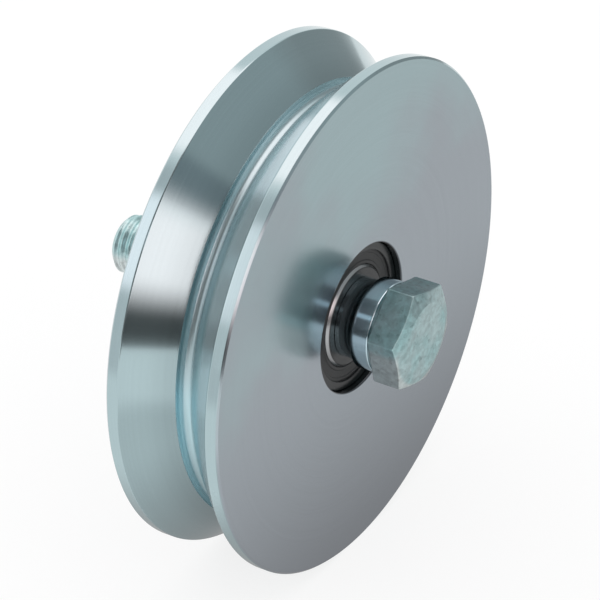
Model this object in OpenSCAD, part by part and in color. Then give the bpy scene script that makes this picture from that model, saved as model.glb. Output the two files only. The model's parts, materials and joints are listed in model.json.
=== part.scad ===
// Sliding gate wheel: a turned steel wheel with a V groove for an angle section rail.
// It runs on two sealed ball bearings, which a hexagon bolt, two stepped bushes, a spacer and a nut clamp together.
// The axle lies along Y with the bolt head in front, at -Y. The origin is the wheel's centre.

/* [Wheel] */
// Outside diameter over the two flanges
wheel_d = 120; // [110:1:160]
// Width between the two faces
wheel_w = 28.4; // [27:0.1:40]
// Corner break on the outer edge of each face
edge_break = 0.5; // [0.2:0.1:1]
// Width of the flat land on each flange's rim
rim_land = 2.5; // [1.5:0.1:4]
// Included angle of the V groove
groove_angle = 94; // [85:1:110]
// Width of the relief slot at the root of the groove
relief_w = 3.8; // [2:0.1:5]
// Height of the relief slot's straight sides above its round bottom
relief_side = 0.9; // [0.5:0.1:1.5]
// Corner break where a flank meets the relief slot
relief_break = 0.2; // [0.1:0.1:0.4]
// Bore of the shoulder that parts the two bearings
shoulder_d = 30; // [28:0.5:32]
// Corner break at the mouth of the bearing bore
bore_break = 0.6; // [0.3:0.1:1]

/* [Bearings] */
// Outside diameter of a bearing
bearing_od = 35; // [34:0.5:40]
// Bore of a bearing
bearing_bore = 17; // [16.8:0.1:18]
// Width of a bearing
bearing_w = 10; // [9.6:0.1:11]
// Depth of a bearing's outer face below the wheel's face
bearing_recess = 1.6; // [0.5:0.1:2.4]
// Diameter of a ball
ball_d = 4.762; // [4.4:0.001:4.9]
// Number of balls in a bearing
ball_count = 10; // [7:1:10]
// Radius of a raceway's section
race_r = 2.5; // [2.47:0.01:2.6]
// Radial gap between the lands of the two rings
land_gap = 2; // [1.8:0.1:2.6]
// Corner break on the ring edges that meet the bore and the bush
ring_break = 0.3; // [0.1:0.1:0.6]
// Bevel on the outer edge of the inner ring's faces
land_bevel = 0.7; // [0.3:0.1:0.9]
// Thickness of a seal
seal_t = 0.95; // [0.7:0.05:1]
// Depth of a seal's outer face below the ring's face
seal_sink = 0.6; // [0.4:0.1:0.8]
// Radial thickness of the outer ring outside a seal's rim
seal_wall = 1.7; // [1.4:0.1:2.1]
// Radial height of the lip that holds a seal's rim in the outer ring
seal_lip = 0.35; // [0.2:0.05:0.5]
// Radial width of the raised rims on a seal's outer face
seal_rim = 0.7; // [0.4:0.1:1]
// Depth of the channel between a seal's rims
seal_channel = 0.2; // [0.1:0.05:0.4]
// Sheet thickness of a cage half
cage_t = 0.45; // [0.3:0.05:0.5]
// Diameter of a cage rivet
rivet_d = 0.8; // [0.6:0.1:1]
// Diameter of a cage rivet's heads
rivet_head_d = 1.3; // [1.1:0.1:1.3]
// Height of a cage rivet's heads
rivet_head_h = 0.3; // [0.2:0.05:0.4]

/* [Bushes] */
// Diameter of the collar under the bolt head
collar_d = 21.2; // [20:0.1:24]
// Length of the collar
collar_l = 4.7; // [3:0.1:8]
// Distance of the collar from the wheel's face
collar_standoff = 2.9; // [1:0.1:5]
// Diameter of the neck that bears on the inner ring
neck_d = 18.6; // [18.4:0.1:20]
// Length of the spigot inside the bearing
spigot_l = 9; // [5:0.1:9.4]
// Corner break on the collar and the spigot
bush_break = 0.4; // [0.2:0.1:0.6]
// Outside diameter of the spacer between the inner rings
spacer_d = 21; // [19:0.1:23]

/* [Bolt and nut] */
// Thread diameter of the bolt
bolt_d = 14; // [13:0.1:14.4]
// Thread pitch
thread_pitch = 2; // [1.5:0.25:2]
// Length under the bolt head
bolt_l = 70.9; // [64:0.1:90]
// Chamfer at the threaded end
bolt_chamfer = 1.3; // [0.8:0.1:2]
// Width across flats of the head and the nut
hex_af = 22; // [21:0.1:24]
// Height of the head, washer face included
head_h = 8.8; // [7:0.1:10]
// Diameter of the washer face under the head
washer_face_d = 20.6; // [19:0.1:21]
// Height of the washer face
washer_face_h = 0.7; // [0.4:0.1:0.8]
// Turn of the head about the axle
head_turn = 15; // [0:1:59]
// Height of the nut
nut_h = 11; // [8:0.1:13]
// Turn of the nut about the axle
nut_turn = 35; // [0:1:59]
// Slope of the chamfers on the hexagon corners
hex_chamfer_angle = 30; // [20:1:35]
// Distance of the chamfers' inner circle from the flats
hex_chamfer_in = 0.3; // [0.2:0.1:0.8]

/* [Fits] */
// Radial gap of a pressed or seated fit
seat_gap = 0.01; // [0.005:0.005:0.03]
// Gap between a ball and its raceways
ball_gap = 0.05; // [0.02:0.01:0.08]
// Gap between a ball and its cage pocket
pocket_gap = 0.12; // [0.05:0.01:0.2]
// Radial gap between the cage and the ring lands
cage_gap = 0.35; // [0.2:0.05:0.5]
// Radial gap between a seal's lip and the inner ring
lip_gap = 0.08; // [0.05:0.01:0.1]
// Radial gap between the bolt and the bushes
bolt_gap = 0.1; // [0.05:0.05:0.3]

/* [Hidden] */
$fn = 96;

FRONT = -1;
BACK = 1;
ZINC = [0.68, 0.74, 0.75];
BEARING_STEEL = [0.72, 0.72, 0.74];
CAGE_STEEL = [0.60, 0.58, 0.54];
SEAL_RUBBER = [0.12, 0.12, 0.13];

// Wheel
wheel_r = wheel_d / 2;
face_y = wheel_w / 2;
mouth_w = wheel_w - 2 * (edge_break + rim_land);
flank_slope = 1 / tan(groove_angle / 2);
flank_r = wheel_r - (mouth_w - relief_w) / 2 * flank_slope;
relief_r = flank_r - relief_side;
bore_r = bearing_od / 2 + seat_gap;

// Bearings, measured from their own mid planes
ring_y = face_y - bearing_recess;
bearing_y = ring_y - bearing_w / 2;
shoulder_w = 2 * (ring_y - bearing_w);
half_w = bearing_w / 2;
pitch_r = (bearing_od + bearing_bore) / 4;
ball_r = ball_d / 2;
ball_step = 360 / ball_count;
inner_land_r = pitch_r - land_gap / 2;
outer_land_r = pitch_r + land_gap / 2;
seal_out = half_w - seal_sink;
seal_in = seal_out - seal_t;
seal_seat_r = bearing_od / 2 - seal_wall;
seal_r = seal_seat_r - seat_gap;
lip_r = inner_land_r + lip_gap;
pocket_r = ball_r + pocket_gap;
cup_r = pocket_r + cage_t;
cage_in_r = inner_land_r + cage_gap;
cage_out_r = outer_land_r - cage_gap;

// Stack along the axle
collar_y = face_y + collar_standoff;
stack_y = collar_y + collar_l;
bush_bore_r = bolt_d / 2 + bolt_gap;
bolt_end_y = bolt_l - stack_y;
nut_y = stack_y + nut_h;
thread_r = bolt_d / 2 - 0.3248 * thread_pitch;
hex_r = hex_af / 2 / cos(30);

// Turns a section of [radius, place along the axle] points about the axle
module turned(section) {
    rotate([-90, 0, 0]) rotate_extrude() polygon(section);
}

// Moves a bearing piece from the origin to its bearing, with its outward side away from the wheel's middle
module at_bearing(side) {
    translate([0, side * bearing_y, 0]) mirror([0, side < 0 ? 1 : 0, 0]) children();
}

// Copies a piece to each place round the pitch circle, starting so many ball steps from the top
module round_pitch(start) {
    for (i = [0 : ball_count - 1])
        rotate([0, (i + start) * ball_step, 0]) translate([0, 0, pitch_r]) children();
}

// Hexagon prism along the axle with chamfered corners, on the front end, the back end or both
module hexagon(from_y, to_y, turn, front, back) {
    chamfer_r = hex_af / 2 - hex_chamfer_in;
    past_r = hex_r + hex_chamfer_in;
    drop = (past_r - chamfer_r) * tan(hex_chamfer_angle);
    front_cone = [[chamfer_r, from_y], [past_r, from_y + drop]];
    back_cone = [[past_r, to_y - drop], [chamfer_r, to_y]];
    intersection() {
        rotate([-90, 0, 0]) rotate([0, 0, turn])
            translate([0, 0, from_y]) linear_extrude(to_y - from_y) circle(r = hex_r, $fn = 6);
        turned(concat(
            [[0, from_y]], front ? front_cone : [[past_r, from_y]],
            back ? back_cone : [[past_r, to_y]], [[0, to_y]]
        ));
    }
}

// Wheel with its V groove, whose root is relieved by a round-bottomed slot
module wheel_body() {
    half_relief = relief_w / 2;
    lip_y = half_relief + relief_break;
    lip_flank_r = flank_r + relief_break * flank_slope;
    color(ZINC) rotate([-90, 0, 0]) rotate_extrude() difference() {
        polygon([
            [wheel_r - edge_break, -face_y], [wheel_r, edge_break - face_y], [wheel_r, -mouth_w / 2],
            [lip_flank_r, -lip_y], [flank_r - relief_break, -half_relief], [relief_r, -half_relief],
            [relief_r, half_relief], [flank_r - relief_break, half_relief], [lip_flank_r, lip_y],
            [wheel_r, mouth_w / 2], [wheel_r, face_y - edge_break], [wheel_r - edge_break, face_y],
            [bore_r + bore_break, face_y], [bore_r, face_y - bore_break],
            [bore_r, shoulder_w / 2], [shoulder_d / 2, shoulder_w / 2],
            [shoulder_d / 2, -shoulder_w / 2], [bore_r, -shoulder_w / 2],
            [bore_r, bore_break - face_y], [bore_r + bore_break, -face_y]
        ]);
        translate([relief_r, 0]) circle(r = half_relief);
    }
}

// Bolt with its washer face. Inside the nut the two threads mesh, so both pieces meet there at the pitch diameter.
module axle_bolt() {
    head_y = -stack_y - head_h;
    hex_y = -stack_y - washer_face_h;
    bolt_r = bolt_d / 2;
    color(ZINC) {
        hexagon(head_y, hex_y, head_turn, true, false);
        turned([
            [0, hex_y - washer_face_h], [washer_face_d / 2, hex_y - washer_face_h],
            [washer_face_d / 2, -stack_y], [bolt_r, -stack_y],
            [bolt_r, stack_y], [thread_r, stack_y], [thread_r, nut_y], [bolt_r, nut_y],
            [bolt_r, bolt_end_y - bolt_chamfer], [bolt_r - bolt_chamfer, bolt_end_y], [0, bolt_end_y]
        ]);
    }
}

module hex_nut() {
    bore = thread_r + seat_gap;
    sink = bolt_d / 2 - thread_r + bolt_gap;
    color(ZINC) difference() {
        hexagon(stack_y, nut_y, nut_turn, true, true);
        turned([
            [0, stack_y - 1], [bore + sink, stack_y - 1], [bore + sink, stack_y], [bore, stack_y + sink],
            [bore, nut_y - sink], [bore + sink, nut_y], [bore + sink, nut_y + 1], [0, nut_y + 1]
        ]);
    }
}

// Stepped bush: spigot in the bearing, neck on the inner ring, collar outside
module bush(side) {
    spigot_r = bearing_bore / 2 - seat_gap;
    spigot_y = ring_y - spigot_l;
    color(ZINC) mirror([0, side < 0 ? 1 : 0, 0]) turned([
        [bush_bore_r, spigot_y], [spigot_r - bush_break, spigot_y], [spigot_r, spigot_y + bush_break],
        [spigot_r, ring_y], [neck_d / 2, ring_y], [neck_d / 2, collar_y],
        [collar_d / 2 - bush_break, collar_y], [collar_d / 2, collar_y + bush_break],
        [collar_d / 2, stack_y - bush_break], [collar_d / 2 - bush_break, stack_y], [bush_bore_r, stack_y]
    ]);
}

module front_bush() { bush(FRONT); }
module back_bush() { bush(BACK); }

module inner_spacer() {
    color(ZINC) turned([
        [bush_bore_r, -shoulder_w / 2], [spacer_d / 2, -shoulder_w / 2],
        [spacer_d / 2, shoulder_w / 2], [bush_bore_r, shoulder_w / 2]
    ]);
}

// Outer ring with its raceway and the groove on each side that holds a seal
module outer_ring(side) {
    outer_r = bearing_od / 2;
    mouth_r = seal_seat_r - seal_lip;
    race_bottom = pitch_r + ball_r + ball_gap;
    color(BEARING_STEEL) at_bearing(side) rotate([-90, 0, 0]) rotate_extrude() difference() {
        polygon([
            [outer_r - ring_break, -half_w], [outer_r, ring_break - half_w],
            [outer_r, half_w - ring_break], [outer_r - ring_break, half_w],
            [mouth_r, half_w], [mouth_r, seal_out], [seal_seat_r, seal_out], [seal_seat_r, seal_in],
            [outer_land_r, seal_in], [outer_land_r, -seal_in],
            [seal_seat_r, -seal_in], [seal_seat_r, -seal_out], [mouth_r, -seal_out], [mouth_r, -half_w]
        ]);
        translate([race_bottom - race_r, 0]) circle(r = race_r);
    }
}

module front_outer_ring() { outer_ring(FRONT); }
module back_outer_ring() { outer_ring(BACK); }

module inner_ring(side) {
    inner_r = bearing_bore / 2;
    race_bottom = pitch_r - ball_r - ball_gap;
    color(BEARING_STEEL) at_bearing(side) rotate([-90, 0, 0]) rotate_extrude() difference() {
        polygon([
            [inner_r, ring_break - half_w], [inner_r + ring_break, -half_w],
            [inner_land_r - land_bevel, -half_w], [inner_land_r, land_bevel - half_w],
            [inner_land_r, half_w - land_bevel], [inner_land_r - land_bevel, half_w],
            [inner_r + ring_break, half_w], [inner_r, half_w - ring_break]
        ]);
        translate([race_bottom + race_r, 0]) circle(r = race_r);
    }
}

module front_inner_ring() { inner_ring(FRONT); }
module back_inner_ring() { inner_ring(BACK); }

module balls(side) {
    color(BEARING_STEEL) at_bearing(side) round_pitch(0) sphere(r = ball_r);
}

module front_balls() { balls(FRONT); }
module back_balls() { balls(BACK); }

// Pressed sheet cage half: a flat ring with a round cup over each ball
module cage_half(side, outward) {
    color(CAGE_STEEL) at_bearing(side) mirror([0, outward ? 0 : 1, 0]) difference() {
        intersection() {
            union() {
                turned([[cage_in_r, 0], [cage_out_r, 0], [cage_out_r, cage_t], [cage_in_r, cage_t]]);
                round_pitch(0) sphere(r = cup_r);
            }
            turned([[cage_in_r, 0], [cage_out_r, 0], [cage_out_r, 2 * cup_r], [cage_in_r, 2 * cup_r]]);
        }
        round_pitch(0) sphere(r = pocket_r);
        round_pitch(0.5) rotate([90, 0, 0]) cylinder(d = rivet_d + 2 * seat_gap, h = 4 * cage_t, center = true);
    }
}

module front_cage_outer_half() { cage_half(FRONT, true); }
module front_cage_inner_half() { cage_half(FRONT, false); }
module back_cage_outer_half() { cage_half(BACK, true); }
module back_cage_inner_half() { cage_half(BACK, false); }

// Rivets between the balls, with a head on each cage half
module cage_rivets(side) {
    head_top = cage_t + rivet_head_h;
    color(CAGE_STEEL) at_bearing(side) round_pitch(0.5) turned([
        [0, -head_top], [rivet_head_d / 2, -head_top], [rivet_head_d / 2, -cage_t], [rivet_d / 2, -cage_t],
        [rivet_d / 2, cage_t], [rivet_head_d / 2, cage_t], [rivet_head_d / 2, head_top], [0, head_top]
    ]);
}

module front_cage_rivets() { cage_rivets(FRONT); }
module back_cage_rivets() { cage_rivets(BACK); }

// Rubber seal: a rim held in the outer ring, a shallow channel and a lip round the inner ring
module seal(side, outward) {
    channel_y = seal_out - seal_channel;
    color(SEAL_RUBBER) at_bearing(side) mirror([0, outward ? 0 : 1, 0]) turned([
        [lip_r, seal_in], [seal_r, seal_in], [seal_r, seal_out],
        [seal_r - seal_lip - seal_rim, seal_out], [seal_r - seal_lip - seal_rim - seal_channel, channel_y],
        [lip_r + seal_rim + seal_channel, channel_y], [lip_r + seal_rim, seal_out], [lip_r, seal_out]
    ]);
}

module front_outer_seal() { seal(FRONT, true); }
module front_inner_seal() { seal(FRONT, false); }
module back_outer_seal() { seal(BACK, true); }
module back_inner_seal() { seal(BACK, false); }

wheel_body();
axle_bolt();
hex_nut();
front_bush();
back_bush();
inner_spacer();
front_outer_ring();
front_inner_ring();
front_balls();
front_cage_outer_half();
front_cage_inner_half();
front_cage_rivets();
front_outer_seal();
front_inner_seal();
back_outer_ring();
back_inner_ring();
back_balls();
back_cage_outer_half();
back_cage_inner_half();
back_cage_rivets();
back_outer_seal();
back_inner_seal();
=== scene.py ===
"""Looks of a sliding gate wheel: zinc plated turned steel, rubber sealed bearings and a galvanised axle bolt.

The file is laid out as an add-on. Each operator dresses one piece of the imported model, or a group of like
pieces, and the last one sets the studio.
"""

import json
import math
from collections import namedtuple

import bpy
from bpy.props import FloatProperty, FloatVectorProperty, IntProperty, PointerProperty
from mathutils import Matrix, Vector

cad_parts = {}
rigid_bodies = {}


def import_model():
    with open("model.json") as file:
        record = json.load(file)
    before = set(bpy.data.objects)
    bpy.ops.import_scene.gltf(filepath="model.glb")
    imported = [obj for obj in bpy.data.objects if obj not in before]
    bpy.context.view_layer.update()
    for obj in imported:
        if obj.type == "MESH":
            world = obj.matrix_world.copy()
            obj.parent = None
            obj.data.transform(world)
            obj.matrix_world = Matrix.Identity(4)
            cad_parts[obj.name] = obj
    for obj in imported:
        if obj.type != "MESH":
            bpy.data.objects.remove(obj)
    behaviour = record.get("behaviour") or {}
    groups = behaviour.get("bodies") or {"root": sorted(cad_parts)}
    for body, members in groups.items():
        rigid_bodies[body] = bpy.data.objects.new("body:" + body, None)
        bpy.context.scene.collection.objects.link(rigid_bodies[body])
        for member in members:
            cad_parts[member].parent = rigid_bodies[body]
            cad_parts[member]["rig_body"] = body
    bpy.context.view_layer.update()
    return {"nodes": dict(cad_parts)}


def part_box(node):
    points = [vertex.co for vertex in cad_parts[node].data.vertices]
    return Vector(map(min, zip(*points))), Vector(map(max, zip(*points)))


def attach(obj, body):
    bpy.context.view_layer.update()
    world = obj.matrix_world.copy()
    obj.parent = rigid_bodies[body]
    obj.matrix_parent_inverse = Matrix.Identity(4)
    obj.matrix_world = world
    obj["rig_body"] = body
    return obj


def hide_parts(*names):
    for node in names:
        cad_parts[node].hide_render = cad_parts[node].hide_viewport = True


bl_info = {
    "name": "Sliding gate wheel",
    "version": (1, 0, 0),
    "blender": (4, 5, 0),
    "location": "View3D > Sidebar > Gate Wheel",
    "description": "Dresses a sliding gate wheel in zinc plating, rubber seals and a threaded axle bolt",
    "category": "Object",
}

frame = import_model()
MM = 0.001
SIDES = ("front", "back")
OUTWARD = {"front": -1, "back": 1}
HEX_STEP = math.pi / 3
SIN_30 = 0.5
COS_30 = math.cos(math.pi / 6)
WHITE = (1.0, 1.0, 1.0)
FLOOR_MATT = (0.88, 0.88, 0.88)
# Room between two pieces that are pressed or screwed together.
SEAT_GAP = 0.01 * MM
# A rounding takes up at most this share of a section's side.
LONGEST_ROUND = 0.7
# The head's top is closed by a flat disc of this share of its chamfer's circle.
HEAD_DISC = 0.3
RACEWAY_STEPS = 18
# Depths below an end face over which its finish ends, on the wheel and on a bearing.
FACE_DEPTHS = (0.6 * MM, 0.2 * MM)
RING_FACE_DEPTHS = (0.25 * MM, 0.05 * MM)
# Where the wheel's finish changes: distances from the bearing, radii, places along the axle and heights.
# Distances from the bearing's radius over which the bore's painted shade ends.
BORE_SHADE = (0.1 * MM, 0.5 * MM)
GROOVE_START = (40 * MM, 42 * MM)
GROOVE_END = (59.5 * MM, 59.9 * MM)
SLOT_LIP = (51.1 * MM, 51.4 * MM)
# Radii of the painted shade and light near the groove's root.
ROOT_SHADE = (51 * MM, 57 * MM)
ROOT_SIDES = (-1.9 * MM, 1.9 * MM)
# Heights over which the slot's painted reflection turns from teal to grey.
SLOT_REFLECTION_HEIGHTS = (-2 * MM, 10 * MM)
# Where the bolt's finish changes: places behind the nut, places behind the head's top, and heights.
THREAD_START = (0.0, 2 * MM)
FLATS_START = (0.6 * MM, 1.0 * MM)
# Heights below which the head's flats carry the painted reflection.
FLATS_REFLECTION_HEIGHTS = (-1.0 * MM, 1.5 * MM)
SLOTS = {name: node.material_slots[0].name for name, node in frame["nodes"].items()}


def reach(node):
    """Inner radius, outer radius, lowest and highest place along the axle of a CAD node."""
    points = [vertex.co for vertex in frame["nodes"][node].data.vertices]
    radii = [math.hypot(point.x, point.z) for point in points]
    low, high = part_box(node)
    return min(radii), max(radii), low.y, high.y


def hexagon_corner(node, low, high):
    """Radius and angle about the axle of a hexagon's corner on a CAD node, between two places along it."""
    points = [vertex.co for vertex in frame["nodes"][node].data.vertices if low < vertex.co.y < high]
    corner = max(points, key=lambda point: math.hypot(point.x, point.z))
    return math.hypot(corner.x, corner.z), math.atan2(corner.z, corner.x)


_, WHEEL_RADIUS, _, WHEEL_FACE = reach("wheel_body")
BEARING_BORE, INNER_LAND, _, _ = reach("back_inner_ring")
OUTER_LAND, BEARING_RADIUS, BEARING_INSIDE, BEARING_OUTSIDE = reach("back_outer_ring")
_, _, BALL_LOW, BALL_HIGH = reach("back_balls")
SEAL_LIP, SEAL_RADIUS, SEAL_INSIDE, SEAL_OUTSIDE = reach("back_outer_seal")
BUSH_BORE, COLLAR_RADIUS, SPIGOT_END, COLLAR_END = reach("back_bush")
_, _, BOLT_FRONT, BOLT_BACK = reach("axle_bolt")
NUT_BORE, _, NUT_FRONT, NUT_BACK = reach("hex_nut")
HEAD_CORNER, HEAD_TURN = hexagon_corner("axle_bolt", BOLT_FRONT, -COLLAR_END)
NUT_CORNER, NUT_TURN = hexagon_corner("hex_nut", NUT_FRONT, NUT_BACK)


def heading(azimuth, elevation):
    """Direction away from the wheel, with azimuth 0 in front of it and turning to the right."""
    level = math.cos(elevation)
    return Vector((math.sin(azimuth) * level, -math.cos(azimuth) * level, math.sin(elevation)))


def axle_heading(turn, tilt):
    """Direction away from the wheel, turned about the axle from the right and tilted to its threaded end."""
    level = math.cos(tilt)
    return Vector((math.cos(turn) * level, math.sin(tilt), math.sin(turn) * level))


class Field:
    """A node's output. Maths on it adds the Math nodes that work the result out."""

    def __init__(self, sheet, socket):
        self.sheet = sheet
        self.socket = socket

    def __add__(self, other):
        return self.sheet.math("ADD", self, other)

    def __sub__(self, other):
        return self.sheet.math("SUBTRACT", self, other)

    def __rsub__(self, other):
        return self.sheet.math("SUBTRACT", other, self)

    def __mul__(self, other):
        return self.sheet.math("MULTIPLY", self, other)

    def __truediv__(self, other):
        return self.sheet.math("DIVIDE", self, other)

    def __rtruediv__(self, other):
        return self.sheet.math("DIVIDE", other, self)

    def __pow__(self, other):
        return self.sheet.math("POWER", self, other)

    __radd__ = __add__
    __rmul__ = __mul__


class NodeSheet:
    """A node tree that is filled node by node."""

    def __init__(self, tree):
        self.tree = tree

    def node(self, kind, settings=None, sockets=None, out=0):
        """Adds a node, sets its settings and then its sockets, and gives one of its outputs as a field."""
        made = self.tree.nodes.new(kind)
        for name, value in (settings or {}).items():
            setattr(made, name, value)
        for name, value in (sockets or {}).items():
            self.feed(made.inputs[name], value)
        return Field(self, made.outputs[out]) if made.outputs else None

    def feed(self, socket, value):
        """Links a field to a socket, or sets a plain value on it."""
        if isinstance(value, Field):
            self.tree.links.new(value.socket, socket)
        elif hasattr(socket.default_value, "__len__") and len(socket.default_value) == 4 and len(value) == 3:
            socket.default_value = (*value, 1.0)
        else:
            socket.default_value = value

    def math(self, operation, first, second=0.0):
        """One Math node."""
        return self.node("ShaderNodeMath", {"operation": operation}, {0: first, 1: second})

    def mix(self, factor, first, second):
        """The colour between two colours."""
        return self.node("ShaderNodeMix", {"data_type": "RGBA"}, {0: factor, 6: first, 7: second}, out=2)

    def scaled(self, colour, amount):
        """A colour made lighter or darker."""
        grey = self.node("ShaderNodeCombineColor", {}, {0: amount, 1: amount, 2: amount})
        settings = {"data_type": "RGBA", "blend_type": "MULTIPLY"}
        return self.node("ShaderNodeMix", settings, {0: 1.0, 6: colour, 7: grey}, out=2)

    def rise(self, value, low, high):
        """A smooth step from 0 at low to 1 at high."""
        settings = {"interpolation_type": "SMOOTHSTEP"}
        return self.node("ShaderNodeMapRange", settings, {"Value": value, "From Min": low, "From Max": high})

    def noise(self, place, scale, detail=2.0):
        """Soft noise from 0 to 1."""
        return self.node("ShaderNodeTexNoise", {}, {"Vector": place, "Scale": scale, "Detail": detail})

    def seen_directly(self):
        """1 for rays from the camera, a mirror or glass, and 0 for the rays that carry soft light."""
        camera, glossy, through = (
            self.node("ShaderNodeLightPath", {}, {}, out=ray)
            for ray in ("Is Camera Ray", "Is Glossy Ray", "Is Transmission Ray")
        )
        return self.math("MAXIMUM", self.math("MAXIMUM", camera, glossy), through)


class Finish(NodeSheet):
    """A material with one Principled shader."""

    def __init__(self, material):
        material.use_nodes = True
        super().__init__(material.node_tree)
        self.shader = self.tree.nodes["Principled BSDF"]
        self.place = self.node("ShaderNodeTexCoord", {}, {}, out="Object")

    def set(self, sockets):
        """Sets or links sockets of the shader."""
        for name, value in sockets.items():
            self.feed(self.shader.inputs[name], value)

    def axle_places(self):
        """Distance from the axle, place along it, and the two parts of the direction away from it."""
        x, y, z = (self.node("ShaderNodeSeparateXYZ", {}, {0: self.place}, out=axis) for axis in range(3))
        radius = (x * x + z * z) ** 0.5
        return radius, y, x / radius, z / radius

    def tool_marks(self, per_metre, stretch, detail=3.0):
        """Noise drawn out round the axle, as a turning tool leaves it."""
        radius, y, across, up = self.axle_places()
        spot = self.node(
            "ShaderNodeCombineXYZ", {}, {0: radius * per_metre, 1: y * per_metre, 2: across * stretch}
        )
        settings = {"noise_dimensions": "4D"}
        sockets = {"Vector": spot, "W": up * stretch, "Scale": 1.0, "Detail": detail}
        return self.node("ShaderNodeTexNoise", settings, sockets)

    def end_faces(self, y, face, start, end):
        """1 on both end faces of a turned piece, rising between two depths below them."""
        return self.rise(self.math("ABSOLUTE", y), face - start, face - end)

    def bump(self, height, depth, strength=1.0):
        """Links a height field, in parts of a depth in metres, to the shader's normal."""
        sockets = {"Height": height, "Distance": depth, "Strength": strength}
        self.set({"Normal": self.node("ShaderNodeBump", {}, sockets)})


def zinc_wheel(finish, colours):
    """Zinc plating on turned steel: fine rings and cloudy faces. Painted light: the faces turn lavender
    towards the bottom as a painted reflection, the front flank is painted pale, the groove's root has painted
    light and shade, the slot is a painted reflection, teal low and grey high, and the bore is painted dark as
    shade.
    """
    finish.set({"Metallic": 1.0})
    radius, y, _, up = finish.axle_places()
    z = up * radius
    on_face = finish.end_faces(y, WHEEL_FACE, *FACE_DEPTHS)
    in_groove = finish.rise(radius, *GROOVE_START) * (1 - finish.rise(radius, *GROOVE_END))
    in_groove = in_groove * (1 - on_face)
    front_flank = in_groove * (1 - finish.rise(y, *ROOT_SIDES))
    in_slot = in_groove * (1 - finish.rise(radius, *SLOT_LIP))
    # Painted light and shade near the groove's root, off the slot.
    painted_root_light_and_shade = in_groove * (1 - finish.rise(radius, *ROOT_SHADE)) * (1 - in_slot)
    # Painted shade on the bore's wall.
    bore = 1 - finish.rise(radius - BEARING_RADIUS, *BORE_SHADE)
    rings = finish.tool_marks(2600.0, 0.6)
    fine_rings = finish.tool_marks(9000.0, 0.8, 2.0)
    clouds = finish.noise(finish.place, 26.0, 3.0)
    # Lavender in cloudy patches and more towards the bottom of the faces: partly the plating's tint, partly a
    # painted reflection.
    lavender_clouds_and_painted_reflection = finish.rise(clouds - 6.0 * z, 0.1, 0.5)
    tint = finish.mix(on_face * lavender_clouds_and_painted_reflection, colours.zinc_teal, colours.zinc_lavender)
    # The front flank is painted pale: painted light.
    tint = finish.mix(front_flank, tint, colours.zinc_pale_painted_light)
    # The slot's tint turns with height, teal low and grey high: a painted reflection.
    slot_painted_reflection = finish.mix(finish.rise(z, *SLOT_REFLECTION_HEIGHTS), colours.slot_teal, colours.slot_grey)
    tint = finish.mix(in_slot, tint, slot_painted_reflection)
    grain = finish.noise(finish.place, 2200.0, 2.0)
    # Tone: tool rings and grain, painted shade near the root on the back flank and painted light there on the
    # front flank, and painted shade on the bore.
    tone = 0.94 + 0.08 * rings + 0.04 * grain + painted_root_light_and_shade * (0.5 * front_flank - 0.14) - 0.8 * bore
    rough = 0.08 + 0.08 * on_face + 0.06 * front_flank + 0.16 * in_slot + 0.04 * rings + 0.03 * clouds
    finish.set({"Base Color": finish.scaled(tint, tone), "Roughness": rough})
    finish.bump(rings * 0.2 + fine_rings, 0.003 * MM)


def zinc_bolt(finish, colours):
    """Galvanised forging: mottled crystals of zinc and a few shallow pits, with the flats painted lighter low
    on the head as a painted reflection.
    """
    finish.set({"Metallic": 1.0})
    mottle = finish.noise(finish.place, 800.0, 4.0)
    patches = finish.noise(finish.place, 120.0, 2.0)
    cells = {"Vector": finish.place, "Scale": 900.0}
    flakes = finish.node("ShaderNodeTexVoronoi", {"feature": "F1"}, cells, out="Color")
    flake_tone = finish.node("ShaderNodeSeparateColor", {}, {0: flakes})
    radius, y, _, up = finish.axle_places()
    on_thread = finish.rise(y - NUT_BACK, *THREAD_START)
    on_flats = finish.rise(y - BOLT_FRONT, *FLATS_START)
    # 1 low on the head, where its flats are painted lighter as a painted reflection.
    low = 1 - finish.rise(up * radius, *FLATS_REFLECTION_HEIGHTS)
    tint = finish.mix(finish.rise(patches, 0.35, 0.65), colours.bolt_teal, colours.bolt_grey)
    tint = finish.mix(on_flats * low, tint, colours.bolt_painted_reflection)
    pits = finish.rise(finish.noise(finish.place, 700.0, 1.0), 0.62, 0.74)
    tone = 0.62 + 0.75 * mottle + 0.2 * flake_tone - 0.2 * pits + 0.03 * on_thread
    rough = 0.26 + 0.16 * mottle + 0.1 * pits
    finish.set({"Base Color": finish.scaled(tint, tone), "Roughness": rough})
    finish.bump(mottle - 0.8 * pits, 0.03 * MM, 0.7)


def zinc_bush(finish, colours):
    """Bright turned bush: fine feed marks under thin zinc."""
    finish.set({"Metallic": 1.0})
    rings = finish.tool_marks(5200.0, 0.5)
    clouds = finish.noise(finish.place, 160.0, 2.0)
    finish.set({
        "Base Color": finish.scaled(colours.bush_zinc, 0.9 + 0.2 * rings),
        "Roughness": 0.06 + 0.06 * rings + 0.04 * clouds,
    })
    finish.bump(rings, 0.002 * MM)


def bearing_steel(finish, colours):
    """Ground and hardened ring steel, with its end faces darkened as a painted dark reflection."""
    finish.set({"Metallic": 1.0})
    _, y, _, _ = finish.axle_places()
    # The end faces are darkened: a painted dark reflection.
    on_face = finish.end_faces(y, BEARING_OUTSIDE, *RING_FACE_DEPTHS)
    rings = finish.tool_marks(9000.0, 0.8)
    smear = finish.noise(finish.place, 240.0, 2.0)
    finish.set({
        "Base Color": finish.scaled(colours.ring_steel, 0.88 + 0.14 * rings + 0.08 * smear - 0.85 * on_face),
        "Roughness": 0.16 + 0.1 * rings + 0.06 * smear,
    })
    finish.bump(rings, 0.001 * MM)


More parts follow.
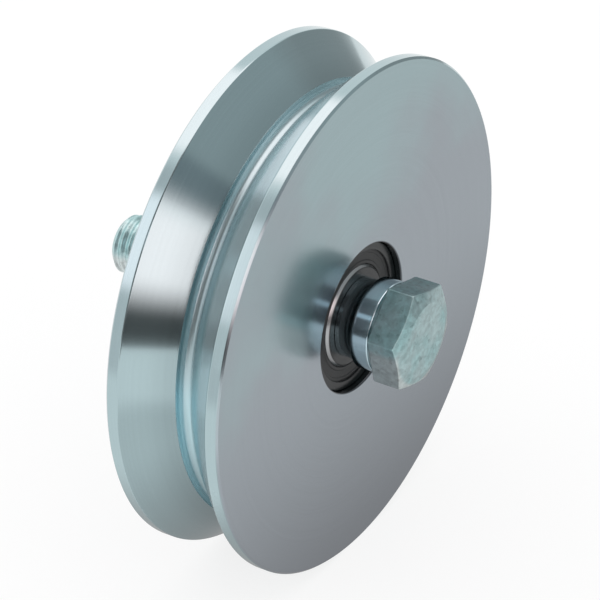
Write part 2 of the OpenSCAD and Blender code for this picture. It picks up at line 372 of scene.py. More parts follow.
def cage_steel(finish, colours):
    """Pressed sheet, oiled and slightly tarnished."""
    finish.set({"Metallic": 1.0})
    grain = finish.noise(finish.place, 1500.0, 3.0)
    smear = finish.noise(finish.place, 300.0, 2.0)
    finish.set({
        "Base Color": finish.scaled(colours.cage_steel, 0.8 + 0.2 * grain + 0.15 * smear),
        "Roughness": 0.3 + 0.15 * smear,
    })
    finish.bump(grain, 0.004 * MM)


def seal_rubber(finish, colours):
    """Moulded nitrile rubber: matt charcoal with a soft gloss and a trace of dust."""
    rings = finish.tool_marks(3000.0, 1.2)
    dust = finish.rise(finish.noise(finish.place, 900.0, 3.0), 0.5, 0.8)
    finish.set({
        "Base Color": finish.mix(0.35 * dust, colours.rubber, colours.rubber_dust),
        "Roughness": 0.42 + 0.12 * rings + 0.12 * dust,
    })
    finish.bump(rings + dust, 0.006 * MM)


FINISHES = {
    "zinc_wheel": zinc_wheel,
    "zinc_bolt": zinc_bolt,
    "zinc_bush": zinc_bush,
    "bearing_steel": bearing_steel,
    "cage_steel": cage_steel,
    "seal_rubber": seal_rubber,
}


def finish_named(slot, context):
    """The finish of a material slot, made once."""
    name = f"{slot}_finish"
    if name not in bpy.data.materials:
        FINISHES[slot](Finish(bpy.data.materials.new(name)), context.scene.gate_wheel_colours)
    return bpy.data.materials[name]


def rounded(corners, steps=3):
    """Points of a section whose corners, each (radius, place, round), become arcs."""
    points = []
    for index, (radius, place, curve) in enumerate(corners):
        here = Vector((radius, place))
        back = Vector(corners[index - 1][:2]) - here
        on = Vector(corners[(index + 1) % len(corners)][:2]) - here
        if curve == 0:
            points.append(here)
            continue
        half = back.angle(on) / 2
        run = min(curve / math.tan(half), LONGEST_ROUND * back.length, LONGEST_ROUND * on.length)
        middle = here + (back.normalized() + on.normalized()).normalized() * (run / math.cos(half))
        start = here + back.normalized() * run - middle
        sweep = start.angle_signed(here + on.normalized() * run - middle)
        for step in range(steps + 1):
            turn = -sweep * step / steps
            across = start.x * math.cos(turn) - start.y * math.sin(turn)
            along = start.x * math.sin(turn) + start.y * math.cos(turn)
            points.append(middle + Vector((across, along)))
    return points


def evenly(count):
    """Angles spread evenly round the axle."""
    return [2 * math.pi * index / count for index in range(count)]


def turned_mesh(name, angles, section_at, solid=False):
    """Mesh of a section turned about the axle.

    The section may change with the angle, but not in its count of points. It is a closed ring, or on a solid
    piece a line from one flat end to the other."""
    vertices = []
    for angle in angles:
        for radius, place in section_at(angle):
            vertices.append((radius * math.cos(angle), place, radius * math.sin(angle)))
    count = len(vertices) // len(angles)
    columns = [index * count for index in range(len(angles))]
    faces = []
    for here, beside in zip(columns, columns[1:] + columns[:1]):
        for row in range(count - 1 if solid else count):
            after = (row + 1) % count
            faces.append((here + row, here + after, beside + after, beside + row))
    if solid:
        faces.append(tuple(columns))
        faces.append(tuple(column + count - 1 for column in reversed(columns)))
    mesh = bpy.data.meshes.new(name)
    mesh.from_pydata(vertices, [], faces)
    mesh.validate()
    mesh.polygons.foreach_set("use_smooth", [True] * len(mesh.polygons))
    return mesh


def dress(mesh, node, context):
    """Makes a mesh into a piece that stands for a CAD node, with that node's body and material slot."""
    slot = SLOTS[node]
    piece = bpy.data.objects.new(mesh.name, mesh)
    context.scene.collection.objects.link(piece)
    piece.modifiers.new("Even shading", "WEIGHTED_NORMAL")
    mesh.materials.append(finish_named(slot, context))
    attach(piece, frame["nodes"][node]["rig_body"])
    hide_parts(node)
    return piece


def dress_cad(node, context):
    """Gives a CAD node that keeps its own mesh the finish of its material slot."""
    frame["nodes"][node].material_slots[0].material = finish_named(SLOTS[node], context)


def hexagon_radius(angle, corner, turn, curve):
    """Distance from the axle to the side of a hexagon with rounded corners."""
    flat = corner * COS_30
    centre = (flat - curve) / COS_30
    away = (angle - turn + HEX_STEP / 2) % HEX_STEP - HEX_STEP / 2
    if abs(away) < hexagon_curve_angle(corner, curve):
        return centre * math.cos(away) + math.sqrt(curve ** 2 - (centre * math.sin(away)) ** 2)
    return flat / math.cos(HEX_STEP / 2 - abs(away))


def hexagon_curve_angle(corner, curve):
    """Half of the angle that a rounded corner takes up about the axle."""
    centre = (corner * COS_30 - curve) / COS_30
    return math.atan2(curve * SIN_30, centre + curve * COS_30)


def hexagon_angles(corner, turn, curve, corner_steps=6, flat_steps=16):
    """Angles round the axle that lie closer together at a hexagon's rounded corners."""
    half = hexagon_curve_angle(corner, curve)
    flat = HEX_STEP - 2 * half
    one_side = [-half + 2 * half * step / corner_steps for step in range(corner_steps)]
    one_side += [half + flat * step / flat_steps for step in range(flat_steps)]
    return [turn + side * HEX_STEP + angle for side in range(6) for angle in one_side]


def thread_radius(angle, place, sizes):
    """Radius of a right hand thread whose roots and crests are rounded off by zinc."""
    pitch = sizes.thread_pitch
    wave = 0.5 + 0.5 * math.cos(2 * math.pi * (place / pitch + angle / (2 * math.pi)))
    return sizes.bolt_radius - sizes.thread_depth * wave


def raceway(centre, radius, land, middle, sweep_end):
    """Corners along the arc of a raceway from the land above its middle to the land below it.

    The sweep's end is 0 on an outer ring, and a full turn on an inner ring, whose arc bulges to the axle."""
    start = math.acos((land - centre) / radius)
    sweep = sweep_end - 2 * start
    arc = [start + sweep * step / RACEWAY_STEPS for step in range(RACEWAY_STEPS + 1)]
    return [(centre + radius * math.cos(turn), middle + radius * math.sin(turn), 0) for turn in arc]


def mirrored(corners, middle=0.0):
    """A section's corners on the other side of a place along the axle, in reverse order."""
    return [(radius, 2 * middle - place, curve) for radius, place, curve in reversed(corners)]


def sided(corners, side):
    """A section drawn for the back, turned to face the given side."""
    return [(radius, OUTWARD[side] * place, curve) for radius, place, curve in corners]


class GateWheelSizes(bpy.types.PropertyGroup):
    """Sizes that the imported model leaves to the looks"""

    turned_steps: IntProperty(
        name="Turned Steps", description="Points round the large turned circles", default=320, min=48
    )
    edge_break: FloatProperty(
        name="Edge Break", description="Corner break on the wheel's faces", default=0.5 * MM, unit="LENGTH"
    )
    crisp_round: FloatProperty(
        name="Crisp Round", description="Rounding of the face's corner break", default=0.05 * MM,
        unit="LENGTH"
    )
    bore_round: FloatProperty(
        name="Bore Round", description="Rounding of the bore's mouth", default=0.5 * MM, unit="LENGTH"
    )
    rim_land: FloatProperty(
        name="Rim Land", description="Flat land on each flange's rim", default=2.5 * MM, unit="LENGTH"
    )
    rim_round: FloatProperty(
        name="Rim Round", description="Rounding between a rim land and its flank", default=0.6 * MM,
        unit="LENGTH"
    )
    groove_angle: FloatProperty(
        name="Groove Angle", description="Angle between the groove's flanks", default=math.radians(94),
        subtype="ANGLE"
    )
    root_width: FloatProperty(
        name="Root Width", description="Width of the slot at the groove's root", default=3.8 * MM,
        unit="LENGTH"
    )
    root_depth: FloatProperty(
        name="Root Depth", description="Depth of the slot below the flanks", default=2.8 * MM, unit="LENGTH"
    )
    root_round: FloatProperty(
        name="Root Round", description="Rounding of the slot's bottom", default=1.88 * MM, unit="LENGTH"
    )
    shoulder_radius: FloatProperty(
        name="Shoulder Radius", description="Bore between the bearings", default=15 * MM, unit="LENGTH"
    )
    neck_radius: FloatProperty(
        name="Neck Radius", description="Neck of a bush on the inner ring", default=9.3 * MM, unit="LENGTH"
    )
    collar_length: FloatProperty(
        name="Collar Length", description="Length of a bush's collar", default=4.7 * MM, unit="LENGTH"
    )
    collar_round: FloatProperty(
        name="Collar Round", description="Rounding of a collar's edges", default=0.45 * MM, unit="LENGTH"
    )
    spigot_round: FloatProperty(
        name="Spigot Round", description="Rounding of a bush's inner end", default=0.4 * MM, unit="LENGTH"
    )
    washer_radius: FloatProperty(
        name="Washer Radius", description="Washer face under the bolt's head", default=10.3 * MM,
        unit="LENGTH"
    )
    washer_height: FloatProperty(
        name="Washer Height", description="Height of the washer face", default=0.7 * MM, unit="LENGTH"
    )
    bolt_radius: FloatProperty(
        name="Bolt Radius", description="Shank and thread crests of the bolt", default=7 * MM, unit="LENGTH"
    )
    thread_pitch: FloatProperty(
        name="Thread Pitch", description="Advance of the thread in one turn", default=2 * MM, unit="LENGTH"
    )
    thread_depth: FloatProperty(
        name="Thread Depth", description="Depth that the zinc leaves of the thread", default=0.4 * MM,
        unit="LENGTH"
    )
    thread_rows: IntProperty(
        name="Thread Rows", description="Rows of faces in one pitch of the thread", default=20, min=8
    )
    end_chamfer: FloatProperty(
        name="End Chamfer", description="Chamfer at the bolt's threaded end", default=1.3 * MM,
        unit="LENGTH"
    )
    head_chamfer_in: FloatProperty(
        name="Head Chamfer In", description="From the head's flats to its chamfer's circle", default=2.5 * MM,
        unit="LENGTH"
    )
    head_chamfer_slope: FloatProperty(
        name="Head Chamfer Slope", description="Drop of the head's chamfer for its run", default=0.36
    )
    chamfer_in: FloatProperty(
        name="Chamfer In", description="From the nut's flats to the chamfer's circle", default=0.3 * MM,
        unit="LENGTH"
    )
    chamfer_slope: FloatProperty(
        name="Chamfer Slope", description="Drop of the nut's chamfer for its run", default=0.577
    )
    forged_round: FloatProperty(
        name="Forged Round", description="Rounding of forged edges", default=0.3 * MM, unit="LENGTH"
    )
    under_head_round: FloatProperty(
        name="Under Head Round", description="Rounding of the flats' inner end", default=0.4 * MM,
        unit="LENGTH"
    )
    nut_mouth: FloatProperty(
        name="Nut Mouth", description="From the bolt to the countersink's rim", default=0.15 * MM,
        unit="LENGTH"
    )
    bearing_steps: IntProperty(
        name="Bearing Steps", description="Points round the bearings and bushes", default=240, min=48
    )
    ring_round: FloatProperty(
        name="Ring Round", description="Rounding of the outer ring's corners", default=0.35 * MM,
        unit="LENGTH"
    )
    ring_bore_round: FloatProperty(
        name="Ring Bore Round", description="Rounding of the inner ring's bore", default=0.3 * MM,
        unit="LENGTH"
    )
    seal_round: FloatProperty(
        name="Seal Round", description="Rounding of a seal's moulded edges", default=0.12 * MM,
        unit="LENGTH"
    )
    race_radius: FloatProperty(
        name="Race Radius", description="Radius of a raceway's section", default=2.5 * MM, unit="LENGTH"
    )
    land_bevel: FloatProperty(
        name="Land Bevel", description="Bevel on the inner ring's faces", default=0.7 * MM, unit="LENGTH"
    )
    seal_lip: FloatProperty(
        name="Seal Lip", description="Steel lip that holds a seal's rim", default=0.35 * MM, unit="LENGTH"
    )
    seal_rim: FloatProperty(
        name="Seal Rim", description="Raised rims on a seal's face", default=0.7 * MM, unit="LENGTH"
    )
    seal_channel: FloatProperty(
        name="Seal Channel", description="Depth of the channel between the rims", default=0.2 * MM,
        unit="LENGTH"
    )
    corner_round: FloatProperty(
        name="Corner Round", description="Rounding of the hexagons' corners", default=0.6 * MM,
        unit="LENGTH"
    )
    fine_round: FloatProperty(
        name="Fine Round", description="Rounding of turned edges", default=0.15 * MM, unit="LENGTH"
    )


class GateWheelColours(bpy.types.PropertyGroup):
    """Colours of the finishes"""

    zinc_teal: FloatVectorProperty(
        name="Zinc Teal", description="Cool tint of the plating", subtype="COLOR",
        default=(0.42, 0.54, 0.565)
    )
    # Used in cloudy patches and, towards the bottom of the faces, as a painted reflection.
    zinc_lavender: FloatVectorProperty(
        name="Zinc Lavender", description="Warm tint of the plating", subtype="COLOR",
        default=(0.412, 0.452, 0.492)
    )
    # Painted light: the front flank's pale tint.
    zinc_pale_painted_light: FloatVectorProperty(
        name="Zinc Pale", description="Brighter plating in the groove", subtype="COLOR",
        default=(0.78, 0.87, 0.91)
    )
    # The slot's two colours mix by height as a painted reflection: teal low, grey high.
    slot_teal: FloatVectorProperty(
        name="Slot Teal", description="Plating in the slot at the root", subtype="COLOR",
        default=(0.52, 0.71, 0.76)
    )
    slot_grey: FloatVectorProperty(
        name="Slot Grey", description="Plating high in the slot", subtype="COLOR",
        default=(0.45, 0.575, 0.605)
    )
    bush_zinc: FloatVectorProperty(
        name="Bush Zinc", description="Plating of the bushes", subtype="COLOR",
        default=(0.58, 0.73, 0.79)
    )
    bolt_teal: FloatVectorProperty(
        name="Bolt Teal", description="Cool tint of the bolt", subtype="COLOR",
        default=(0.34, 0.52, 0.53)
    )
    bolt_grey: FloatVectorProperty(
        name="Bolt Grey", description="Dull tint of the bolt", subtype="COLOR",
        default=(0.41, 0.53, 0.54)
    )
    # Painted reflection: the lighter tint low on the head's flats.
    bolt_painted_reflection: FloatVectorProperty(
        name="Bolt Worn", description="Bare tint low on the head's flats", subtype="COLOR",
        default=(0.53, 0.59, 0.59)
    )
    ring_steel: FloatVectorProperty(
        name="Ring Steel", description="Bearing rings and balls", subtype="COLOR",
        default=(0.42, 0.43, 0.44)
    )
    cage_steel: FloatVectorProperty(
        name="Cage Steel", description="Cages and rivets", subtype="COLOR",
        default=(0.40, 0.37, 0.32)
    )
    rubber: FloatVectorProperty(
        name="Rubber", description="Seals", subtype="COLOR",
        default=(0.018, 0.019, 0.020)
    )
    rubber_dust: FloatVectorProperty(
        name="Rubber Dust", description="Dust on the seals", subtype="COLOR",
        default=(0.08, 0.08, 0.08)
    )


class GateWheelStage(bpy.types.PropertyGroup):
    """Camera, floor and soft light"""

    lens: FloatProperty(
        name="Lens", description="Focal length in millimetres", default=218.3, unit="CAMERA"
    )
    azimuth: FloatProperty(
        name="Azimuth", description="Camera's turn about Z", default=math.radians(-58.5), subtype="ANGLE"
    )
    elevation: FloatProperty(
        name="Elevation", description="Camera's height angle", default=math.radians(32.0), subtype="ANGLE"
    )
    distance: FloatProperty(
        name="Distance", description="From the camera to the aim", default=0.8108, unit="LENGTH"
    )
    aim: FloatVectorProperty(
        name="Aim", description="Point that the camera looks at", default=(-5.5 * MM, -1.35 * MM, 3.5 * MM),
        subtype="XYZ", unit="LENGTH"
    )
    floor_size: FloatProperty(
        name="Floor Size", description="Side of the floor", default=12.0, unit="LENGTH"
    )
    floor_glow: FloatProperty(
        name="Floor Glow", description="Share of plain white in the floor, the rest takes light and shadow",
        default=0.8, subtype="FACTOR"
    )
    ambient: FloatProperty(
        name="Ambient", description="Strength of the soft light from all sides", default=1.2
    )


class GATE_WHEEL_OT_wheel(bpy.types.Operator):
    """Turns the grooved wheel body"""

    bl_idname = "gate_wheel.wheel"
    bl_label = "Wheel Body"

    def execute(self, context):
        sizes = context.scene.gate_wheel_sizes
        fine = sizes.fine_round
        mouth = WHEEL_FACE - sizes.edge_break - sizes.rim_land
        root = sizes.root_width / 2
        flank = WHEEL_RADIUS - (mouth - root) / math.tan(sizes.groove_angle / 2)
        bore = BEARING_RADIUS + SEAT_GAP
        half = [
            (flank - sizes.root_depth, root, sizes.root_round),
            (flank, root, fine),
            (WHEEL_RADIUS, mouth, sizes.rim_round),
            (WHEEL_RADIUS, WHEEL_FACE - sizes.edge_break, sizes.crisp_round),
            (WHEEL_RADIUS - sizes.edge_break, WHEEL_FACE, sizes.crisp_round),
            (bore, WHEEL_FACE, sizes.bore_round),
            (bore, BEARING_INSIDE, fine),
            (sizes.shoulder_radius, BEARING_INSIDE, fine),
        ]
        section = rounded(half + mirrored(half), steps=8)
        mesh = turned_mesh("grooved_wheel", evenly(sizes.turned_steps), lambda angle: section)
        dress(mesh, "wheel_body", context)
        return {"FINISHED"}


class GATE_WHEEL_OT_bushes(bpy.types.Operator):
    """Turns the two stepped bushes"""

    bl_idname = "gate_wheel.bushes"
    bl_label = "Bushes"

    def execute(self, context):
        sizes = context.scene.gate_wheel_sizes
        fine = sizes.fine_round
        spigot = BEARING_BORE - SEAT_GAP
        collar = COLLAR_END - sizes.collar_length
        corners = [
            (BUSH_BORE, SPIGOT_END, fine),
            (spigot, SPIGOT_END, sizes.spigot_round),
            (spigot, BEARING_OUTSIDE, fine),
            (sizes.neck_radius, BEARING_OUTSIDE, fine),
            (sizes.neck_radius, collar, fine),
            (COLLAR_RADIUS, collar, sizes.collar_round),
            (COLLAR_RADIUS, COLLAR_END, sizes.collar_round),
            (BUSH_BORE, COLLAR_END, fine),
        ]
        for side in SIDES:
            section = rounded(sided(corners, side), steps=4)
            mesh = turned_mesh(f"{side}_collar_bush", evenly(sizes.bearing_steps), lambda angle: section)
            dress(mesh, f"{side}_bush", context)
        return {"FINISHED"}


class GATE_WHEEL_OT_bolt(bpy.types.Operator):
    """Forges the hexagon bolt and cuts its thread behind the nut"""

    bl_idname = "gate_wheel.bolt"
    bl_label = "Axle Bolt"

    def execute(self, context):
        sizes = context.scene.gate_wheel_sizes
        angles = hexagon_angles(HEAD_CORNER, HEAD_TURN, sizes.corner_round)
        mesh = turned_mesh("hexagon_bolt", angles, lambda angle: self.section(angle, sizes), solid=True)
        dress(mesh, "axle_bolt", context)
        return {"FINISHED"}

    def section(self, angle, sizes):
        """Line from the head's top to the threaded end at one angle."""
        soft, fine = sizes.forged_round, sizes.fine_round
        side = hexagon_radius(angle, HEAD_CORNER, HEAD_TURN, sizes.corner_round)
        top = HEAD_CORNER * COS_30 - sizes.head_chamfer_in
        under = -COLLAR_END - sizes.washer_height
        in_nut = NUT_BORE - SEAT_GAP
        sink = NUT_BACK - (sizes.bolt_radius - in_nut)
        line = rounded([
            (HEAD_DISC * top, BOLT_FRONT, 0),
            (top, BOLT_FRONT, soft),
            (side, BOLT_FRONT + (side - top) * sizes.head_chamfer_slope, soft),
            (side, under, sizes.under_head_round),
            (sizes.washer_radius, under, fine),
            (sizes.washer_radius, -COLLAR_END, fine),
            (sizes.bolt_radius, -COLLAR_END, fine),
            (sizes.bolt_radius, NUT_FRONT, fine),
            (in_nut, NUT_FRONT, fine),
            (in_nut, sink, 0),
        ])
        rows = math.ceil((BOLT_BACK - sink) / sizes.thread_pitch * sizes.thread_rows)
        for row in range(1, rows + 1):
            place = sink + (BOLT_BACK - sink) * row / rows
            start = in_nut + place - sink
            end = sizes.bolt_radius - sizes.end_chamfer + BOLT_BACK - place
            line.append((min(thread_radius(angle, place, sizes), start, end), place))
        return line


class GATE_WHEEL_OT_nut(bpy.types.Operator):
    """Makes the hexagon nut with chamfered corners and a countersunk bore"""

    bl_idname = "gate_wheel.nut"
    bl_label = "Hexagon Nut"

    def execute(self, context):
        sizes = context.scene.gate_wheel_sizes
        angles = hexagon_angles(NUT_CORNER, NUT_TURN, sizes.corner_round)
        mesh = turned_mesh("hexagon_nut", angles, lambda angle: self.section(angle, sizes))
        dress(mesh, "hex_nut", context)
        return {"FINISHED"}

    def section(self, angle, sizes):
        """Closed section of the nut at one angle."""
        soft, fine = sizes.forged_round, sizes.fine_round
        side = hexagon_radius(angle, NUT_CORNER, NUT_TURN, sizes.corner_round)
        top = NUT_CORNER * COS_30 - sizes.chamfer_in
        drop = (side - top) * sizes.chamfer_slope
        mouth = sizes.bolt_radius + sizes.nut_mouth
        sink = mouth - NUT_BORE
        return rounded([
            (NUT_BORE, NUT_FRONT + sink, fine),
            (mouth, NUT_FRONT, fine),
            (top, NUT_FRONT, soft),
            (side, NUT_FRONT + drop, soft),
            (side, NUT_BACK - drop, soft),
            (top, NUT_BACK, soft),
            (mouth, NUT_BACK, fine),
            (NUT_BORE, NUT_BACK - sink, fine),
        ])


class GATE_WHEEL_OT_bearings(bpy.types.Operator):
    """Grinds the rings of both bearings and moulds the seals that show"""

    bl_idname = "gate_wheel.bearings"
    bl_label = "Bearings"

    def execute(self, context):
        sizes = context.scene.gate_wheel_sizes
        sections = {
            "outer_ring": self.outer_ring(sizes),
            "inner_ring": self.inner_ring(sizes),
            "outer_seal": self.seal(sizes),
        }
        angles = evenly(sizes.bearing_steps)
        for side in SIDES:
            for kind, corners in sections.items():
                section = rounded(sided(corners, side))
                mesh = turned_mesh(f"{side}_bearing_{kind}", angles, lambda angle: section)
                dress(mesh, f"{side}_{kind}", context)
        return {"FINISHED"}

    def outer_ring(self, sizes):
        """Section with the raceway and the groove on each side that holds a seal."""
        fine = sizes.fine_round
        middle = (BEARING_INSIDE + BEARING_OUTSIDE) / 2
        pitch = (BEARING_RADIUS + BEARING_BORE) / 2
        bottom = pitch + (BALL_HIGH - BALL_LOW) / 2
        seat = SEAL_RADIUS + SEAT_GAP
        mouth = seat - sizes.seal_lip
        half = [
            (BEARING_RADIUS, BEARING_OUTSIDE, sizes.ring_round),
            (mouth, BEARING_OUTSIDE, fine),
            (mouth, SEAL_OUTSIDE, 0),
            (seat, SEAL_OUTSIDE, 0),
            (seat, SEAL_INSIDE, 0),
            (OUTER_LAND, SEAL_INSIDE, fine),
        ]
        race = raceway(bottom - sizes.race_radius, sizes.race_radius, OUTER_LAND, middle, 0)
        return half + race + mirrored(half, middle)

    def inner_ring(self, sizes):
        """Section with the raceway and the bevels that catch the light beside the seals."""
        fine = sizes.fine_round
        middle = (BEARING_INSIDE + BEARING_OUTSIDE) / 2
        pitch = (BEARING_RADIUS + BEARING_BORE) / 2
        bottom = pitch - (BALL_HIGH - BALL_LOW) / 2
        bevel = sizes.land_bevel
        half = [
            (BEARING_BORE, BEARING_OUTSIDE, sizes.ring_bore_round),
            (INNER_LAND - bevel, BEARING_OUTSIDE, fine),
            (INNER_LAND, BEARING_OUTSIDE - bevel, fine),
        ]
        race = raceway(bottom + sizes.race_radius, sizes.race_radius, INNER_LAND, middle, 2 * math.pi)
        return half + race + mirrored(half, middle)

    def seal(self, sizes):
        """Section of a rubber seal: a rim in the outer ring, a shallow channel and an inner lip."""
        soft = sizes.seal_round
        rim = sizes.seal_rim
        channel = SEAL_OUTSIDE - sizes.seal_channel
        return [
            (SEAL_LIP, SEAL_INSIDE, soft),
            (SEAL_RADIUS, SEAL_INSIDE, soft),
            (SEAL_RADIUS, SEAL_OUTSIDE, soft),
            (SEAL_RADIUS - sizes.seal_lip - rim, SEAL_OUTSIDE, soft),
            (SEAL_RADIUS - sizes.seal_lip - rim - sizes.seal_channel, channel, soft),
            (SEAL_LIP + rim + sizes.seal_channel, channel, soft),
            (SEAL_LIP + rim, SEAL_OUTSIDE, soft),
            (SEAL_LIP, SEAL_OUTSIDE, soft),
        ]


class GATE_WHEEL_OT_inner_pieces(bpy.types.Operator):
    """Finishes the balls, cages, rivets, inner seals and spacer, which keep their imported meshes"""

    bl_idname = "gate_wheel.inner_pieces"
    bl_label = "Inner Pieces"

    def execute(self, context):
        dress_cad("inner_spacer", context)
        for side in SIDES:
            for kind in ("balls", "cage_outer_half", "cage_inner_half", "cage_rivets", "inner_seal"):
                dress_cad(f"{side}_{kind}", context)
        return {"FINISHED"}


# A studio board lies between two turns and two tilts and fades over its left, right, low and high margins.
# On an arch they are degrees about the axle and towards its threaded end, on a dome azimuth and elevation,
# and on the floor millimetres along X and Y. A colour of 1 is plain white. The nearer board covers the other.
Board = namedtuple("Board", "name shape turns tilts distance colour margins")


def even(margin):
    """The same margin at a board's four edges."""
    return (margin,) * 4


BOARDS = (
    Board("overhead_softbox", "arch", (47, 105), (-24, 50), 1.5, (1.87, 1.62, 1.6), even(9)),
    Board("grey_flag", "arch", (10, 116), (-64, -14), 1.9, (0.44, 0.475, 0.485), even(6)),
    Board("low_grey_flag", "arch", (-20, 40), (-54, 16), 0.6, (0.37, 0.385, 0.39), even(16)),
    Board("shade_flag", "arch", (88, 120), (-64, -38), 1.85, (0.27, 0.3, 0.32), even(7)),
    Board("window_softbox", "arch", (104, 183), (-68, -37), 1.6, (1.9, 1.58, 1.56), (25, 4, 7, 7)),
    Board("camera_flag", "arch", (90, 196), (-40, -19.5), 1.7, (0.04, 0.05, 0.06), even(4)),
    Board("light_strip", "arch", (132, 146), (-32, -20), 1.65, (1.3, 1.42, 1.5), even(4)),
    Board("pale_flag", "arch", (100, 196), (-22.5, -14.5), 1.66, (1.0, 0.92, 0.9), even(2)),
    Board("dark_arch", "arch", (102, 194), (-19, 7), 1.68, (0.06, 0.06, 0.06), even(3)),
    Board("side_flag", "arch", (102, 188), (1, 22), 1.8, (0.75, 0.75, 0.76), even(6)),
    Board("side_softbox", "arch", (117, 166), (22, 46), 1.6, (1.95, 1.75, 1.8), even(10)),
    Board("dip_flag", "arch", (103, 126), (16, 46), 1.7, (0.72, 0.72, 0.73), even(8)),
    Board("low_flag", "arch", (150, 196), (18, 44), 1.7, (0.7, 0.7, 0.71), even(16)),
    Board("front_flag", "dome", (-6, 58), (-14, 16), 0.5, (0.2, 0.22, 0.23), even(6)),
    Board("horizon_flag", "dome", (-79, -14), (-19, 15.5), 0.42, (0.1, 0.1, 0.1), (14, 2.5, 16, 14)),
    # The floor boards are painted shade: darker sheets on the floor, seen only in reflections; near the foot
    # they stand for the wheel's shadow.
    Board("floor_shade", "floor", (-80, 420), (-330, 30), 0.0002, (0.72, 0.73, 0.73), even(80)),
    Board("far_floor_shade", "floor", (-1500, -200), (30, 900), 0.0002, (0.8, 0.8, 0.81), even(90)),
    Board("left_foot_shade", "floor", (-140, -20), (-90, 15), 0.0003, (0.78, 0.79, 0.79), (35, 35, 35, 15)),
    Board("foot_shade", "floor", (-80, 150), (-65, 70), 0.0005, (0.38, 0.37, 0.37), even(60)),
)


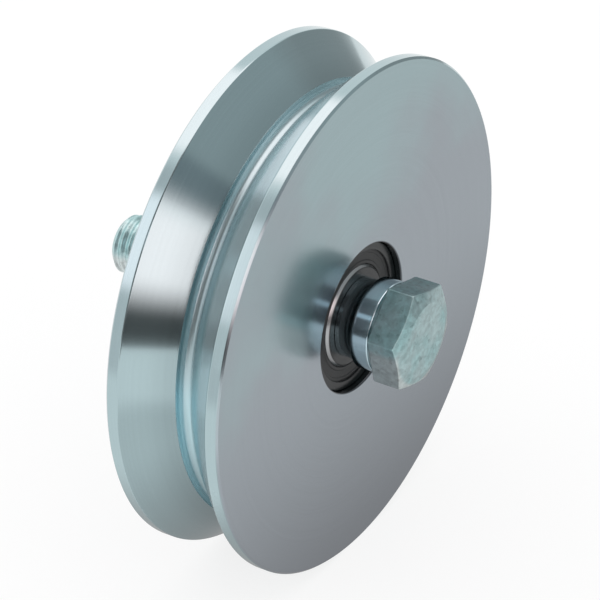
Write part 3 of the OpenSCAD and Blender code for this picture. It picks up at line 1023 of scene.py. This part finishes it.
class GATE_WHEEL_OT_stage(bpy.types.Operator):
    """Sets the floor, the boards, the background and the camera"""

    bl_idname = "gate_wheel.stage"
    bl_label = "Stage"

    def execute(self, context):
        stage = context.scene.gate_wheel_stage
        self.lay_floor(context, stage)
        for board in BOARDS:
            self.hang_board(context, board)
        self.light_world(context, stage)
        self.set_camera(context, stage)
        context.scene.view_settings.view_transform = "Standard"
        return {"FINISHED"}

    def bare_sheet(self, mesh):
        """Gives a mesh an empty material, as a sheet for its nodes."""
        material = bpy.data.materials.new(mesh.name)
        material.use_nodes = True
        material.node_tree.nodes.clear()
        mesh.materials.append(material)
        return NodeSheet(material.node_tree)

    def set_up(self, context, mesh):
        """Makes a mesh into an object of the stage."""
        made = bpy.data.objects.new(mesh.name, mesh)
        context.scene.collection.objects.link(made)
        return made

    def lay_floor(self, context, stage):
        """A white floor at the foot of the wheel, which keeps the shadow."""
        half = stage.floor_size / 2
        mesh = bpy.data.meshes.new("floor")
        corners = [(-half, -half), (half, -half), (half, half), (-half, half)]
        mesh.from_pydata([(x, y, -WHEEL_RADIUS) for x, y in corners], [], [(0, 1, 2, 3)])
        sheet = self.bare_sheet(mesh)
        matt = sheet.node("ShaderNodeBsdfDiffuse", {}, {"Color": FLOOR_MATT})
        white = sheet.node("ShaderNodeEmission", {}, {"Color": WHITE, "Strength": 1.0})
        share = stage.floor_glow * sheet.seen_directly()
        shown = sheet.node("ShaderNodeMixShader", {}, {0: share, 1: matt, 2: white})
        sheet.node("ShaderNodeOutputMaterial", {}, {"Surface": shown})
        self.set_up(context, mesh)

    def board_point(self, board, turn, tilt):
        """Place of a point on a board."""
        if board.shape == "floor":
            return Vector((turn * MM, tilt * MM, board.distance - WHEEL_RADIUS))
        away = axle_heading if board.shape == "arch" else heading
        return away(math.radians(turn), math.radians(tilt)) * board.distance

    def hang_board(self, context, board, steps=32):
        """A glowing board that only shows in what is polished."""
        width = board.turns[1] - board.turns[0]
        height = board.tilts[1] - board.tilts[0]
        vertices = []
        clear = []
        for row in range(steps + 1):
            from_low = height * row / steps
            tilt = board.tilts[0] + from_low
            for column in range(steps + 1):
                from_left = width * column / steps
                turn = board.turns[0] + from_left
                vertices.append(self.board_point(board, turn, tilt))
                gaps = (from_left, width - from_left, from_low, height - from_low)
                clear.append(1 - min(1, *(gap / margin for gap, margin in zip(gaps, board.margins))))
        across = steps + 1
        corners = [row * across + column for row in range(steps) for column in range(steps)]
        faces = [(start, start + 1, start + 1 + across, start + across) for start in corners]
        mesh = bpy.data.meshes.new(board.name)
        mesh.from_pydata(vertices, [], faces)
        mesh.attributes.new("clear", "FLOAT", "POINT").data.foreach_set("value", clear)
        sheet = self.bare_sheet(mesh)
        edge = sheet.node("ShaderNodeAttribute", {"attribute_name": "clear"}, {}, out="Fac")
        glow = max(board.colour)
        colour = tuple(part / glow for part in board.colour)
        light = sheet.node("ShaderNodeEmission", {}, {"Color": colour, "Strength": glow})
        through = sheet.node("ShaderNodeBsdfTransparent", {}, {"Color": WHITE})
        shown = sheet.node("ShaderNodeMixShader", {}, {0: sheet.rise(edge, 0.0, 1.0), 1: light, 2: through})
        sheet.node("ShaderNodeOutputMaterial", {}, {"Surface": shown})
        hung = self.set_up(context, mesh)
        hung.visible_camera = False
        hung.visible_shadow = False
        hung.visible_diffuse = False

    def light_world(self, context, stage):
        """White where it is seen, and a softer light elsewhere."""
        world = bpy.data.worlds.new("studio")
        world.use_nodes = True
        world.node_tree.nodes.clear()
        sheet = NodeSheet(world.node_tree)
        strength = stage.ambient + (1 - stage.ambient) * sheet.seen_directly()
        light = sheet.node("ShaderNodeBackground", {}, {"Color": WHITE, "Strength": strength})
        sheet.node("ShaderNodeOutputWorld", {}, {"Surface": light})
        context.scene.world = world

    def set_camera(self, context, stage):
        """Looks at the aim from the photograph's side."""
        back = heading(stage.azimuth, stage.elevation)
        camera = bpy.data.objects.new("camera", bpy.data.cameras.new("camera"))
        context.scene.collection.objects.link(camera)
        camera.data.sensor_width = 36.0
        camera.data.lens = stage.lens
        camera.data.clip_start = 0.05
        camera.location = Vector(stage.aim) + back * stage.distance
        camera.rotation_mode = "QUATERNION"
        camera.rotation_quaternion = (-back).to_track_quat("-Z", "Y")
        context.scene.camera = camera


class GATE_WHEEL_PT_panel(bpy.types.Panel):
    """Lists the operators and the values they use"""

    bl_idname = "GATE_WHEEL_PT_panel"
    bl_label = "Gate Wheel"
    bl_space_type = "VIEW_3D"
    bl_region_type = "UI"
    bl_category = "Gate Wheel"

    def draw(self, context):
        for operator in OPERATORS:
            self.layout.operator(operator.bl_idname)
        for name, _, group in GROUPS:
            box = self.layout.box()
            box.label(text=group.bl_rna.description)
            for prop in group.__annotations__:
                box.prop(getattr(context.scene, name), prop)


GROUPS = (
    ("gate_wheel_sizes", "Sizes", GateWheelSizes),
    ("gate_wheel_colours", "Colours", GateWheelColours),
    ("gate_wheel_stage", "Stage", GateWheelStage),
)
OPERATORS = (
    GATE_WHEEL_OT_wheel,
    GATE_WHEEL_OT_bushes,
    GATE_WHEEL_OT_bolt,
    GATE_WHEEL_OT_nut,
    GATE_WHEEL_OT_bearings,
    GATE_WHEEL_OT_inner_pieces,
    GATE_WHEEL_OT_stage,
)


def register():
    """Registers the classes and hangs the values on the scene."""
    for name, label, group in GROUPS:
        bpy.utils.register_class(group)
        setattr(bpy.types.Scene, name, PointerProperty(type=group, name=label))
    for made in (*OPERATORS, GATE_WHEEL_PT_panel):
        bpy.utils.register_class(made)


def unregister():
    """Takes the classes and the values away again."""
    for made in (GATE_WHEEL_PT_panel, *reversed(OPERATORS)):
        bpy.utils.unregister_class(made)
    for name, _, group in reversed(GROUPS):
        delattr(bpy.types.Scene, name)
        bpy.utils.unregister_class(group)


def main():
    """Runs each operator in turn."""
    register()
    for operator in OPERATORS:
        module, name = operator.bl_idname.split(".")
        getattr(getattr(bpy.ops, module), name)()


if __name__ == "__main__":
    main()
